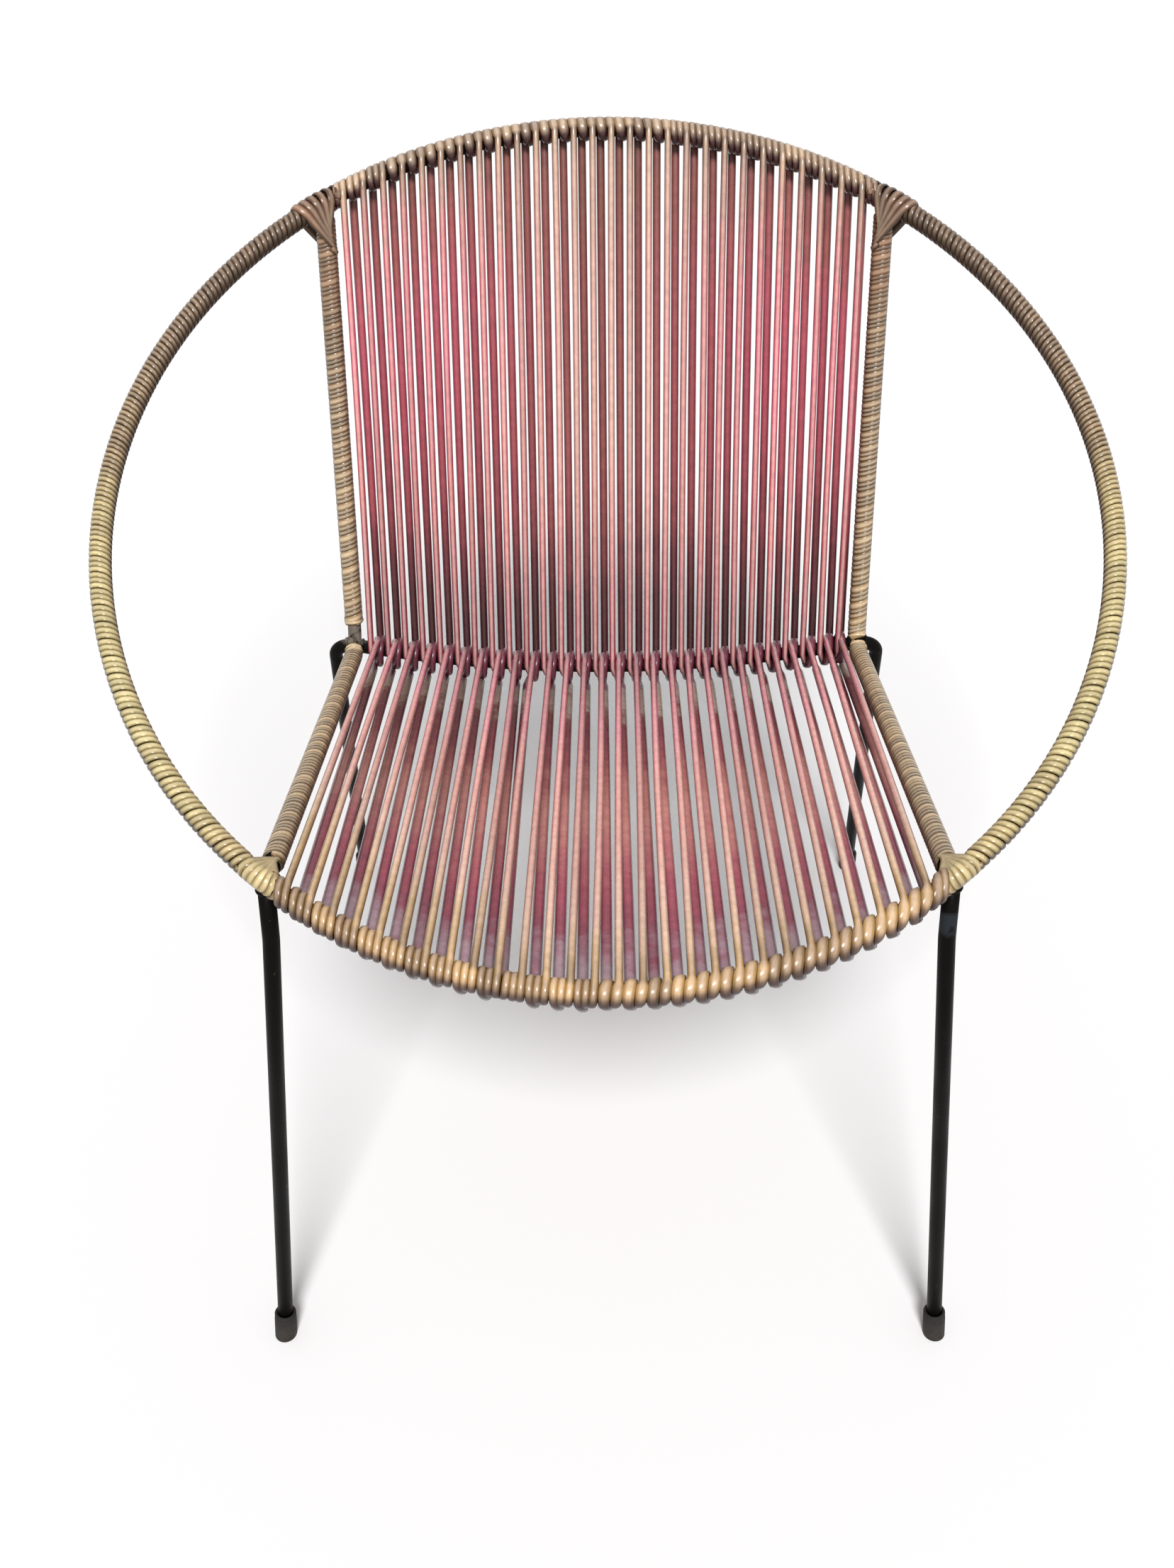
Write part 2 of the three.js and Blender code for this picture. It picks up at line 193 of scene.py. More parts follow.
# Spots where the paint is rubbed thin, from the hoop's centre, their reach and their tone: above
# the left knee, and at the top of the right front leg.
worn_spots = [((-0.228, 0.166, -0.216), 0.018, "#7c7268"),
              ((0.229, -0.268, -0.170), 0.0115, "#2e3236")]
worn_core = 0.7
# Dull clouds of 45 mm, scuffs of 10 mm, and brush ripples of 2.4 mm.
clouds_per_metre = 22
scuffs_per_metre = 95
ripples_per_metre = 420
ripple_depth = 0.001

painted_steel, tree = new_material("satin_black_paint_on_steel")
# Brushed paint, thin and a little uneven: broad dull clouds, a fine ripple in a low gloss, grey
# scuffs all over, and the worn spots, where rubbing has thinned it most.
where = add(tree, "ShaderNodeTexCoord").outputs["Object"]
clouds = add(tree, "ShaderNodeTexNoise", {"Vector": where, "Scale": clouds_per_metre,
                                          "Detail": 4})
tint = add(tree, "ShaderNodeValToRGB", {0: clouds.outputs[0]},
           [(0.3, "#0a0908"), (0.72, "#151311")])
scuffs = add(tree, "ShaderNodeTexNoise", {"Vector": where, "Scale": scuffs_per_metre,
                                          "Detail": 6, "Roughness": 0.7})
scuffed = add(tree, "ShaderNodeValToRGB", {0: scuffs.outputs[0]},
              [(0.66, "#000000"), (0.74, "#ffffff")])
paint = add(tree, "ShaderNodeMix", {0: scuffed.outputs[0], 6: tint.outputs[0], 7: "#46413c"},
            data_type="RGBA").outputs[2]
patches = add(tree, "ShaderNodeMapRange", {0: scuffs.outputs[0], 1: 0.36, 2: 0.5})
for spot, reach, bare_tone in worn_spots:
    far = add(tree, "ShaderNodeVectorMath", {0: where, 1: hoop_centre + Vector(spot)},
              operation="DISTANCE")
    near = add(tree, "ShaderNodeMapRange", {0: far.outputs["Value"], 1: reach * worn_core,
                                            2: reach, 3: 1, 4: 0})
    near = add(tree, "ShaderNodeMath", {0: near.outputs[0], 1: patches.outputs[0]},
               operation="MULTIPLY")
    paint = add(tree, "ShaderNodeMix", {0: near.outputs[0], 6: paint, 7: bare_tone},
                data_type="RGBA").outputs[2]
dull = add(tree, "ShaderNodeMapRange", {0: clouds.outputs[0], 1: 0.3, 2: 0.7, 3: 0.3, 4: 0.48})
ripples = add(tree, "ShaderNodeTexNoise", {"Vector": where, "Scale": ripples_per_metre,
                                           "Detail": 2})
relief = add(tree, "ShaderNodeBump", {"Height": ripples.outputs[0], "Strength": 0.12,
                                      "Distance": ripple_depth})
shell = add(tree, "ShaderNodeBsdfPrincipled", {
    "Base Color": paint, "Roughness": dull.outputs[0],
    "Normal": relief.outputs[0], "IOR": 1.3, "Specular IOR Level": 0.09,
})
add(tree, "ShaderNodeOutputMaterial", {"Surface": shell.outputs[0]})


def place_piece(name, mesh, material):
    """The finished mesh as an object of its own, in its material."""
    data = bpy.data.meshes.new(name)
    bmesh.ops.recalc_face_normals(mesh, faces=mesh.faces)
    mesh.to_mesh(data)
    mesh.free()
    data.shade_smooth()
    data.materials.append(material)
    piece = bpy.data.objects.new(name, data)
    scene.collection.objects.link(piece)
    return piece


def round_end(mesh, point, heading, radius=rod_radius, sides=rod_sides):
    """A rod's round end, square to its heading: the edges to draw the rod from."""
    turn = heading.to_track_quat("Z", "Y").to_matrix().to_4x4()
    circle = bmesh.ops.create_circle(mesh, radius=radius, segments=sides,
                                     matrix=Matrix.Translation(point) @ turn)
    return list({edge for vert in circle["verts"] for edge in vert.link_edges})


def aside(angle):
    """The hoop's spoke at an angle from its highest point towards +X."""
    return Vector((math.sin(angle), math.cos(angle) * math.cos(hoop_tilt),
                   math.cos(angle) * math.sin(hoop_tilt)))


ring = bmesh.new()
edges = round_end(ring, hoop_centre + hoop_radius * aside(0), Vector((1, 0, 0)))
bmesh.ops.spin(ring, geom=edges, cent=hoop_centre, axis=hoop_axis, angle=math.tau,
               steps=hoop_sections, use_merge=True)
hoop = place_piece("hoop", ring, painted_steel)
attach(hoop, "root")
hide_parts("hoop_rod")


# Side rails: one length of the same bar each, from the back of the hoop down to the knee,
# round it, and along the seat to the front of the hoop, welded at both ends.
rail_offset = 0.228
knee_height = 0.358
knee_setback = 0.162
knee_bend_radius = 0.022
bend_sections = 12


def hoop_at(x, side):
    """The middle of the hoop at x, behind its centre (1) or in front of it (-1)."""
    reach = side * math.sqrt(hoop_radius ** 2 - x ** 2)
    return hoop_centre + Vector((x, reach * math.cos(hoop_tilt), reach * math.sin(hoop_tilt)))


def bent_rod(corners, radii):
    """A rod through its corners, as a bender makes it: a run, then a bend about a centre."""
    mesh = bmesh.new()
    here = corners[0]
    heading = (corners[1] - here).normalized()
    edges = round_end(mesh, here, heading)
    for corner, after, radius in zip(corners[1:], corners[2:], radii):
        turned = (after - corner).normalized()
        angle = heading.angle(turned)
        start = corner - radius * math.tan(angle / 2) * heading
        axis = heading.cross(turned).normalized()
        edges = run_on(mesh, edges, start - here)
        bend = bmesh.ops.spin(mesh, geom=edges, cent=start + radius * axis.cross(heading),
                              axis=axis, angle=angle, steps=bend_sections)
        edges = [e for e in bend["geom_last"] if isinstance(e, bmesh.types.BMEdge)]
        heading = turned
        here = corner + radius * math.tan(angle / 2) * turned
    run_on(mesh, edges, corners[-1] - here)
    bmesh.ops.holes_fill(mesh, edges=mesh.edges)
    return mesh


def run_on(mesh, edges, run):
    """A straight run from a rod's open end, and the edges of its new end."""
    grown = bmesh.ops.extrude_edge_only(mesh, edges=edges)["geom"]
    verts = [part for part in grown if isinstance(part, bmesh.types.BMVert)]
    bmesh.ops.translate(mesh, verts=verts, vec=run)
    fresh = set(verts)
    return [part for part in grown
            if isinstance(part, bmesh.types.BMEdge) and fresh.issuperset(part.verts)]


def rail_corners(hand):
    """A rail's upper joint, its knee as a sharp corner, and its lower joint."""
    knee = Vector((hand * rail_offset, hoop_centre.y + knee_setback, knee_height))
    return [hoop_at(hand * rail_offset, 1), knee, hoop_at(hand * rail_offset, -1)]


sides = (("left", -1), ("right", 1))
for label, hand in sides:
    rail = place_piece(f"{label}_rail", bent_rod(rail_corners(hand), [knee_bend_radius]),
                       painted_steel)
    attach(rail, "root")
    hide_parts(f"{label}_side_rail")


# Crossbar: the same bar from knee to knee, bowed down 24 mm, with a weld at each end. The cords
# of both panels turn round it and cover most of it.
crossbar_sag = 0.024
weld_radius = 0.0016
weld_sides = 8
weld_steps = 24


def knee_apex(hand):
    """The middle of a knee's bend, on the rail's axis."""
    before, knee, after = rail_corners(hand)
    inward = ((before - knee).normalized() + (after - knee).normalized()).normalized()
    half = (before - knee).angle(after - knee) / 2
    return knee + inward * (knee_bend_radius / math.sin(half) - knee_bend_radius)


def bar_at(x):
    """The crossbar's axis at x."""
    end = knee_apex(1)
    return Vector((x, end.y, end.z - crossbar_sag * (1 - (x / rail_offset) ** 2)))


def weld_bead(mesh, centre, heading):
    """A ring of weld where a rod meets another."""
    turn = heading.to_track_quat("Z", "Y").to_matrix()
    spoke = turn @ Vector((1, 0, 0))
    edges = round_end(mesh, centre + spoke * rod_radius, turn @ Vector((0, 1, 0)),
                      weld_radius, weld_sides)
    bmesh.ops.spin(mesh, geom=edges, cent=centre, axis=heading, angle=math.tau,
                   steps=weld_steps, use_merge=True)


bow_radius = (rail_offset ** 2 + crossbar_sag ** 2) / (2 * crossbar_sag)
bow_angle = 2 * math.asin(rail_offset / bow_radius)
bar = bmesh.new()
slope = Vector((math.cos(bow_angle / 2), 0, -math.sin(bow_angle / 2)))
edges = round_end(bar, knee_apex(-1), slope)
bmesh.ops.spin(bar, geom=edges, cent=bar_at(0) + Vector((0, 0, bow_radius)),
               axis=Vector((0, -1, 0)), angle=bow_angle, steps=2 * bend_sections)
bmesh.ops.holes_fill(bar, edges=bar.edges)
for label, hand in sides:
    inward = Vector((-hand, 0, -math.tan(bow_angle / 2))).normalized()
    weld_bead(bar, knee_apex(hand) + inward * (rod_radius + weld_radius / 2), inward)
crossbar = place_piece("crossbar_rod", bar, painted_steel)
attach(crossbar, "root")
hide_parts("crossbar")


# Legs: four lengths of the same bar, bent near the top. The front pair is welded under the
# hoop beside the rails, and the rear pair outside the knees.
foot_offset = 0.266
front_foot_reach = 0.310
rear_foot_reach = 0.262
front_neck = 0.050
front_neck_splay = 0.002
front_bend_radius = 0.120
rear_stand_off = 0.018
rear_bend_radius = 0.014
cap_sole = 0.006
heel_gap = 0.0003


def leg_corners(end, hand):
    """A leg's weld, the corner of its bend, and its foot on the floor."""
    if end == "front":
        top = rail_corners(hand)[2]
        foot = Vector((hand * foot_offset, hoop_centre.y - front_foot_reach, 0))
        shoulder = top + front_neck * (foot - top).normalized()
        shoulder.x = hand * (rail_offset + front_neck_splay)
    else:
        top = knee_apex(hand)
        foot = Vector((hand * foot_offset, hoop_centre.y + rear_foot_reach, 0))
        shoulder = Vector((hand * (rail_offset + rear_stand_off), top.y, top.z))
    return [top, shoulder, foot]


leg_bends = {"front": front_bend_radius, "rear": rear_bend_radius}
for end, bend_radius in leg_bends.items():
    for label, hand in sides:
        top, shoulder, foot = leg_corners(end, hand)
        heel = foot + (cap_sole + heel_gap) * (shoulder - foot).normalized()
        rod = bent_rod([top, shoulder, heel], [bend_radius])
        heading = (shoulder - top).normalized()
        weld_bead(rod, top + heading * (rod_radius + weld_radius / 2), heading)
        leg = place_piece(f"{end}_{label}_leg_rod", rod, painted_steel)
        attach(leg, "root")
        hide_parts(f"{end}_{label}_leg")


# Foot caps: moulded rubber cups pushed on the legs' ends, each with a groove below its lip.
# They lean with the legs, and their soles are worn flat and dusty on the floor.
cap_sides = 40
merge_distance = 0.00001
# Half of a cup's section, from under the floor, where it is cut off level, round its lip to the
# seat inside.
cap_profile = [
    (0, -0.0089), (0.0089, -0.0089), (0.0089, 0.0195), (0.0085, 0.0215), (0.0087, 0.0226),
    (0.0087, 0.0255), (0.0081, 0.0268), (0.0068, 0.0270), (0.0064, 0.0262), (0.0064, 0.0060),
    (0, 0.0060),
]
# Dust that reaches from 4 to 36 mm up, in clumps of 4 mm, and pits of 1.1 mm.
dust_from = 0.004
dust_to = 0.036
dust_scatter = 0.016
clumps_per_metre = 260
pits_per_metre = 900
pit_depth = 0.0006
foot_rubber, tree = new_material("moulded_black_rubber")
# Moulded rubber: dull, slightly pitted, and greyer with floor dust near the sole.
where = add(tree, "ShaderNodeTexCoord").outputs["Object"]
height = add(tree, "ShaderNodeSeparateXYZ", {0: where}).outputs["Z"]
clumps = add(tree, "ShaderNodeTexNoise", {"Vector": where, "Scale": clumps_per_metre,
                                          "Detail": 4})
settled = add(tree, "ShaderNodeMath", {0: clumps.outputs[0], 1: dust_scatter, 2: height},
              operation="MULTIPLY_ADD")
clean = add(tree, "ShaderNodeMapRange", {0: settled.outputs[0], 1: dust_from, 2: dust_to})
tint = add(tree, "ShaderNodeValToRGB", {0: clean.outputs[0]},
           [(0.0, "#6a625a"), (0.45, "#3c3936"), (1.0, "#2b2928")])
pits = add(tree, "ShaderNodeTexNoise", {"Vector": where, "Scale": pits_per_metre, "Detail": 2})
relief = add(tree, "ShaderNodeBump", {"Height": pits.outputs[0], "Strength": 0.3,
                                      "Distance": pit_depth})
shell = add(tree, "ShaderNodeBsdfPrincipled", {
    "Base Color": tint.outputs[0], "Roughness": 0.78, "Normal": relief.outputs[0],
    "Specular IOR Level": 0.2})
add(tree, "ShaderNodeOutputMaterial", {"Surface": shell.outputs[0]})

for end in leg_bends:
    for label, hand in sides:
        top, shoulder, foot = leg_corners(end, hand)
        cup = bmesh.new()
        rim = [cup.verts.new((across, 0, up)) for across, up in cap_profile]
        edges = [cup.edges.new(pair) for pair in zip(rim, rim[1:])]
        bmesh.ops.spin(cup, geom=rim + edges, cent=(0, 0, 0), axis=(0, 0, 1),
                       angle=math.tau, steps=cap_sides, use_merge=True)
        bmesh.ops.remove_doubles(cup, verts=cup.verts, dist=merge_distance)
        lean = (shoulder - foot).to_track_quat("Z", "Y").to_matrix().to_4x4()
        bmesh.ops.transform(cup, matrix=Matrix.Translation(foot) @ lean, verts=cup.verts)
        bmesh.ops.bisect_plane(cup, geom=cup.verts[:] + cup.edges[:] + cup.faces[:],
                               plane_co=(0, 0, 0), plane_no=(0, 0, -1), clear_outer=True)
        bmesh.ops.holes_fill(cup, edges=cup.edges)
        cap = place_piece(f"{end}_{label}_cap", cup, foot_rubber)
        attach(cap, "root")
        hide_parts(f"{end}_{label}_foot_cap")


# Arms: vinyl cord wound round the bare sides of the hoop, three ends side by side, so that
# the turns slant. Sun has bleached it gold low down, and it is still bronze at the back.
flat_thickness = 0.0023
ends_together = 3
steps_per_turn = 16
upper_reach = 0.026
rail_reach = 0.034
lower_reach = 0.018
reach_beneath = 0.012
seed_radius = 0.001
seed_resolution = 3
# Painted shade on a cord's side away from the light, on its unfaded colour: onset and slope.
shade_onset = 1.1
shade_slope = 1.8
own_shades = (0.2, 0.7)
ring_overlap = 3
ring_creep = 0.6
ring_rise = 0.62
ring_swell = 1.2
arm_pitches = [0.0052, 0.0050, 0.0044, 0.0042, 0.0048, 0.0052, 0.0052]
arm_squeezes = [0.03, 0.03, 0.03, 0.03, 0.05, 0.06, 0.05]

# A station is one section of a cord: its place, the way its top faces, its width and thickness.
# Its vinyl reads its marks: the layer, from 0 in front to 1 behind, which on wound turns is their
# share of painted shade, how far along it is, whether it is wound, and a shade of its own.
marks = ["layer", "along", "wound", "shade"]
Station = namedtuple("Station", ["point", "out", "width", "thickness"] + marks)


def mix(before, after, share):
    """The value a share of the way from one to the other."""
    return before + (after - before) * share


def table_at(table, share):
    """The value at a share of an evenly spaced table."""
    place = min(max(share, 0), 1) * (len(table) - 1)
    index = min(int(place), len(table) - 2)
    return mix(table[index], table[index + 1], place - index)


def away_shade_share(out, lit_side=Vector((0, 0, 1))):
    """The share of painted shade, on unfaded colour, where a cord faces away from the lit side.
    """
    return min(max(shade_onset - shade_slope * out.dot(lit_side), 0), 1)


def lay_cord(name, lays, material):
    """Cords through their stations, each pressed to its station's width and thickness."""
    curve = bpy.data.curves.new(name, "CURVE")
    curve.dimensions = "3D"
    curve.bevel_depth = seed_radius
    curve.bevel_resolution = seed_resolution
    for stations in lays:
        spline = curve.splines.new("POLY")
        spline.points.add(len(stations) - 1)
        for point, station in zip(spline.points, stations):
            point.co = (*station.point, 1)
    stations = [station for lay in lays for station in lay]
    holder = bpy.data.objects.new(name, curve)
    data = bpy.data.meshes.new_from_object(holder)
    bpy.data.objects.remove(holder)
    bpy.data.curves.remove(curve)
    count = len(data.vertices) // len(stations)
    values = {key: [] for key in marks + ["crest"]}
    for index, vertex in enumerate(data.vertices):
        station = stations[index // count]
        offset = (vertex.co - station.point) / seed_radius / 2
        rise = station.out * offset.dot(station.out)
        vertex.co = (station.point + rise * station.thickness
                     + (offset - rise) * station.width)
        for key in marks:
            values[key].append(getattr(station, key))
        values["crest"].append(2 * rise.length)
    for key, numbers in values.items():
        data.attributes.new(key, "FLOAT", "POINT").data.foreach_set("value", numbers)
    ends = bmesh.new()
    ends.from_mesh(data)
    bmesh.ops.holes_fill(ends, edges=ends.edges)
    ends.to_mesh(data)
    ends.free()
    data.shade_smooth()
    data.materials.clear()
    data.materials.append(material)
    piece = bpy.data.objects.new(name, data)
    scene.collection.objects.link(piece)
    return piece


def wind(axis_at, length, pitches, squeezes, lit_side, paler=0, wider=1, fullness=1.03):
    """Turns of several cords wound together over a length, one lay for each cord.

    The first cord may be paler and wider than the others. A squeeze draws them together, which
    leaves a gap before the next turn.
    """
    lays = [[] for _ in range(ends_together)]
    widths = [wider] + [(ends_together - wider) / (ends_together - 1)] * (ends_together - 1)
    middles = [sum(widths[:end]) + widths[end] / 2 - ends_together / 2
               for end in range(ends_together)]
    reach = -ends_together * pitches[0]
    step = 0
    while reach < length + ends_together * pitches[-1]:
        share = reach / length
        pitch = table_at(pitches, share)
        squeeze = table_at(squeezes, share)
        if step % steps_per_turn == 0:
            shades = [chance.uniform(*own_shades) for _ in range(ends_together)]
            shades[0] += paler
        turn = math.tau * step / steps_per_turn
        for end, lay in enumerate(lays):
            place = reach + middles[end] * pitch * (1 - squeeze)
            if 0 <= place <= length:
                centre, first, second = axis_at(place)
                out = math.cos(turn) * first + math.sin(turn) * second
                point = centre + out * (rod_radius + flat_thickness / 2)
                # The layer mark of a wound turn is its share of painted shade.
                lay.append(Station(point, out, pitch * widths[end] * (fullness - squeeze),
                                   flat_thickness, away_shade_share(out, lit_side),
                                   place / length, 1, shades[end]))
        reach += ends_together * pitch / steps_per_turn
        step += 1
    return lays


def end_ring(centre, first, second, width, lit_side, shade):
    """One closing turn that holds the wound ends down."""
    ring = []
    for step in range(steps_per_turn + ring_overlap):
        turn = math.tau * step / steps_per_turn
        out = math.cos(turn) * first + math.sin(turn) * second
        creep = first.cross(second) * width * (step / steps_per_turn - 0.5) * ring_creep
        point = centre + creep + out * (rod_radius + flat_thickness * ring_rise)
        # The ring's layer mark is its share of painted shade.
        ring.append(Station(point, out, width, flat_thickness * ring_swell,
                            away_shade_share(out, lit_side), 0, 1, shade))
    return ring


# Sun blotches of 38 mm, stains of 7 mm, and the grain that the die leaves, drawn at 1.4 mm
# because the real one is too fine to show.
blotches_per_metre = 26
stains_per_metre = 150
grains_per_metre = 700
grain_depth = 0.0004
blotch_drift = 0.08
side_from, side_to = 0.05, 0.2
middle_from, middle_to = 0.02, 0.13
middle_high, middle_low = 0.5, 0.85
# How far up the painted crest highlight wanes on arms and rails, and how much of it is left.
waning_from, waned_at = 0.5, 0.85
waned_highlight = 0.45
# How much of the painted highlight the strands behind and the undersides keep, and where on the
# crest it starts.
rear_highlight = 0.08
highlight_from = 0.78
# Painted shade with some grime where wound turns touch: where it reaches and its strength.
crease_shade_up_to, crease_shade_ends = 0.1, 0.6
most_crease_shade = 0.75
# Painted shade on every cord's flanks, down to edge_shade_level.
flank_from, flank_to = 0.05, 0.92


def vinyl(name, face_stops, back_stops, wound_stops, shade_and_grime_tone, highlight_tone, highlight_strength, shifts=(0, 0),
          height_tones=None, middle=None, edge_shade_level=0.28):
    """Extruded vinyl cord: soft, glossy and blotched by sun, with painted light and shade.

    Strands take face_stops in front and back_stops behind, from the hoop to the crossbar. The
    shifts move the first along at the left and right, and middle holds the tones of a panel's
    sunned middle, front and behind, with their strength. Wound turns take wound_stops by their
    shade, times the tones for their height. Where they face away from the lit side they take
    shade_and_grime_tone as painted shade on their unfaded colour, and where turns touch they take
    it as painted shade with some grime. Every cord's flanks are painted darker, down to
    edge_shade_level, and its crest takes highlight_tone as a painted highlight.
    """
    material, tree = new_material(name)
    value = {key: add(tree, "ShaderNodeAttribute", attribute_name=key).outputs["Fac"]
             for key in marks + ["crest"]}
    where = add(tree, "ShaderNodeTexCoord").outputs["Object"]
    axes = add(tree, "ShaderNodeSeparateXYZ", {0: where}).outputs
    blotch = add(tree, "ShaderNodeTexNoise", {"Vector": where, "Scale": blotches_per_metre,
                                              "Detail": 5, "Roughness": 0.65})
    drift = add(tree, "ShaderNodeMapRange", {0: blotch.outputs[0], 1: 0.25, 2: 0.75,
                                             3: -blotch_drift, 4: blotch_drift})
    along = add(tree, "ShaderNodeMath", {0: value["along"], 1: drift.outputs[0]},
                operation="ADD")
    moved = along
    for hand, shift in zip((-1, 1), shifts):
        more = add(tree, "ShaderNodeMapRange", {0: axes["X"], 1: side_from * hand,
                                                2: side_to * hand, 3: 0, 4: shift})
        moved = add(tree, "ShaderNodeMath", {0: moved.outputs[0], 1: more.outputs[0]},
                    operation="ADD")
    face = add(tree, "ShaderNodeValToRGB", {0: moved.outputs[0]}, face_stops).outputs[0]
    back = add(tree, "ShaderNodeValToRGB", {0: along.outputs[0]}, back_stops).outputs[0]
    if middle:
        tone, back_tone, strength = middle
        near = add(tree, "ShaderNodeMath", {0: axes["X"]}, operation="ABSOLUTE")
        near = add(tree, "ShaderNodeMapRange", {0: near.outputs[0], 1: middle_from,
                                                2: middle_to, 3: strength, 4: 0})
        high = add(tree, "ShaderNodeMapRange", {0: along.outputs[0], 1: middle_high,
                                                2: middle_low, 3: 1, 4: 0})
        near = add(tree, "ShaderNodeMath", {0: near.outputs[0], 1: high.outputs[0]},
                   operation="MULTIPLY")
        face = add(tree, "ShaderNodeMix", {0: near.outputs[0], 6: face, 7: tone},
                   data_type="RGBA").outputs[2]
        back = add(tree, "ShaderNodeMix", {0: near.outputs[0], 6: back, 7: back_tone},
                   data_type="RGBA").outputs[2]
    layers = add(tree, "ShaderNodeMix", {0: value["layer"], 6: face, 7: back},
                 data_type="RGBA")
    turns = add(tree, "ShaderNodeValToRGB", {0: value["shade"]}, wound_stops).outputs[0]
    highlight_kept = 1.0
    if height_tones:
        low, high, stops = height_tones
        place = add(tree, "ShaderNodeMapRange", {0: axes["Z"], 1: low, 2: high})
        place = add(tree, "ShaderNodeMath", {0: place.outputs[0], 1: drift.outputs[0]},
                    operation="ADD")
        tone = add(tree, "ShaderNodeValToRGB", {0: place.outputs[0]}, stops)
        turns = add(tree, "ShaderNodeMix", {0: 1.0, 6: tone.outputs[0], 7: turns},
                    data_type="RGBA", blend_type="MULTIPLY").outputs[2]
        highlight_kept = add(tree, "ShaderNodeMapRange", {0: place.outputs[0], 1: waning_from,
                                                  2: waned_at, 3: 1,
                                                  4: waned_highlight}).outputs[0]
    # Wound turns facing away from the lit side take shade_and_grime_tone: painted shade on their
    # unfaded colour.
    turns = add(tree, "ShaderNodeMix", {0: value["layer"], 6: turns, 7: shade_and_grime_tone},
                data_type="RGBA")
    colour = add(tree, "ShaderNodeMix", {0: value["wound"], 6: layers.outputs[2],
                                         7: turns.outputs[2]}, data_type="RGBA")
    # A painted highlight along each cord's crest, fainter behind, underneath and high up.
    crest_highlight = add(tree, "ShaderNodeMapRange", {0: value["crest"], 1: highlight_from, 2: 1.0, 3: 0,
                                             4: highlight_strength}).outputs[0]
    highlight_facing = add(tree, "ShaderNodeMapRange", {0: value["layer"], 3: 1, 4: rear_highlight})
    for share in (highlight_facing.outputs[0], highlight_kept):
        crest_highlight = add(tree, "ShaderNodeMath", {0: crest_highlight, 1: share},
                    operation="MULTIPLY").outputs[0]
    highlit_colour = add(tree, "ShaderNodeMix", {0: crest_highlight, 6: colour.outputs[2], 7: highlight_tone},
                  data_type="RGBA")
    # Painted shade with some grime on the flanks of wound turns, where they touch.
    crease_shade_and_grime = add(tree, "ShaderNodeMapRange", {0: value["crest"], 1: crease_shade_up_to, 2: crease_shade_ends,
                                            3: most_crease_shade, 4: 0})
    crease_shade_and_grime = add(tree, "ShaderNodeMath", {0: crease_shade_and_grime.outputs[0], 1: value["wound"]},
               operation="MULTIPLY")
    crease_shaded = add(tree, "ShaderNodeMix", {0: crease_shade_and_grime.outputs[0], 6: highlit_colour.outputs[2],
                                        7: shade_and_grime_tone}, data_type="RGBA")
    # Painted shade on every cord's flanks, down to edge_shade_level.
    edge_shade = add(tree, "ShaderNodeMapRange", {0: value["crest"], 1: flank_from, 2: flank_to,
                                             3: edge_shade_level, 4: 1})
    bright = add(tree, "ShaderNodeMapRange", {0: value["shade"], 3: 0.84,
                                              4: 1.12}).outputs[0]
    stain = add(tree, "ShaderNodeTexNoise", {"Vector": where, "Scale": stains_per_metre,
                                             "Detail": 4})
    stain = add(tree, "ShaderNodeMapRange", {0: stain.outputs[0], 1: 0.3, 2: 0.7, 3: 0.86,
                                             4: 1.1})
    for share in (stain.outputs[0], edge_shade.outputs[0]):
        bright = add(tree, "ShaderNodeMath", {0: bright, 1: share},
                     operation="MULTIPLY").outputs[0]
    shaded = add(tree, "ShaderNodeVectorMath", {0: crease_shaded.outputs[2], 3: bright},
                 operation="SCALE")
    rough = add(tree, "ShaderNodeMapRange", {0: blotch.outputs[0], 1: 0.3, 2: 0.7, 3: 0.2,
                                             4: 0.34})
    grain = add(tree, "ShaderNodeTexNoise", {"Vector": where, "Scale": grains_per_metre,
                                             "Detail": 3})
    relief = add(tree, "ShaderNodeBump", {"Height": grain.outputs[0], "Strength": 0.12,
                                          "Distance": grain_depth})
    shell = add(tree, "ShaderNodeBsdfPrincipled", {
        "Base Color": shaded.outputs[0], "Roughness": rough.outputs[0],
        "Normal": relief.outputs[0], "IOR": 1.54, "Specular IOR Level": 0.45,
    })
    add(tree, "ShaderNodeOutputMaterial", {"Surface": shell.outputs[0]})
    return material


plain = [(0.0, "#c4c0b8"), (1.0, "#ffffff")]
arm_vinyl = vinyl(
    "sun_faded_gold_vinyl_cord", plain, plain, plain, shade_and_grime_tone="#3c2a14", highlight_tone="#fff4cc",
    highlight_strength=0.44, height_tones=(0.43, 0.76, [
        (0.0, "#b88c58"), (0.1, "#d4b87c"), (0.28, "#e4d090"), (0.48, "#d8c080"),
        (0.6, "#94704e"), (0.74, "#785642"), (1.0, "#6c4c3c")]))

chance = random.Random(11)
joint_angle = math.asin(rail_offset / hoop_radius)
start = joint_angle + reach_beneath / hoop_radius
end = math.pi - joint_angle - lower_reach / hoop_radius
for label, hand in sides:
    def arm_axis(reach):
        """Places along an arm, by their reach from the start of its winding."""
        spoke = aside(hand * (start + reach / hoop_radius))
        return hoop_centre + hoop_radius * spoke, spoke, hoop_axis

    lays = wind(arm_axis, (end - start) * hoop_radius, arm_pitches, arm_squeezes,
                Vector((0, 0, 1)))
    wrap = lay_cord(f"{label}_arm_cord", lays, arm_vinyl)
    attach(wrap, "root")
    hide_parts(f"{label}_arm_wrap")


